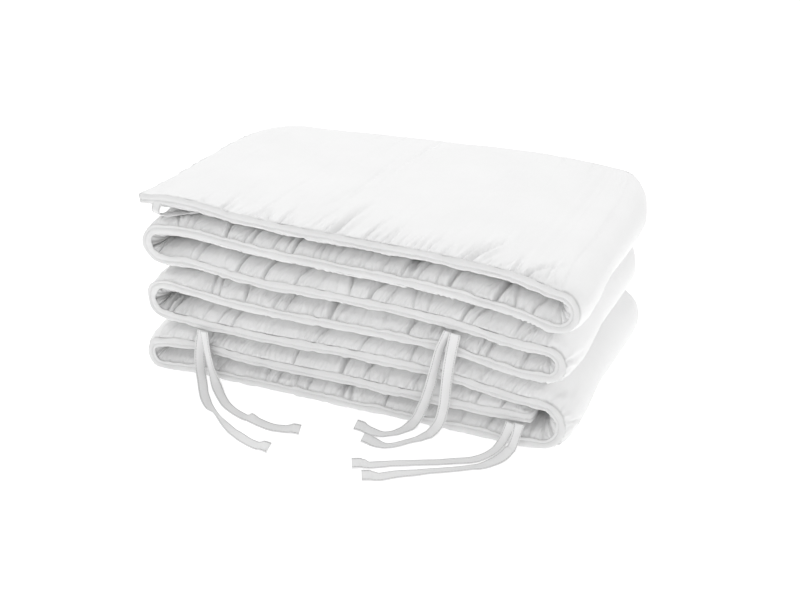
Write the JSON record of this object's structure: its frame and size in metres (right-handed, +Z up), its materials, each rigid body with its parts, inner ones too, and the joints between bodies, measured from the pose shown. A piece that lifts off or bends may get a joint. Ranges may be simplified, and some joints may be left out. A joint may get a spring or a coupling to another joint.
{
  "type": "crib bumper",
  "caption": "Quilted crib bumper folded back and forth into a stack of layers, with a flat band sewn round its edge and cloth tie tapes at the front.",
  "frame": {"origin": "middle of the flat underside of the folded stack", "axes": "+X along the folded layers towards the wide lower fold, +Y from the side with the tapes to the far side, +Z up"},
  "size_m": [0.5072, 0.4225, 0.2148],
  "materials": {
    "quilt": "matt plain-woven white cotton over soft filling",
    "binding": "matt plain-woven white cotton band",
    "tape": "matt white cotton tape"
  },
  "bodies": {
    "root": {"pad": "quilt", "binding": "binding", "tie_low_a": "tape", "tie_low_b": "tape", "tie_mid_a": "tape", "tie_mid_b": "tape", "tie_end_a": "tape", "tie_end_b": "tape", "tie_top": "tape"}
  },
  "joints": []
}
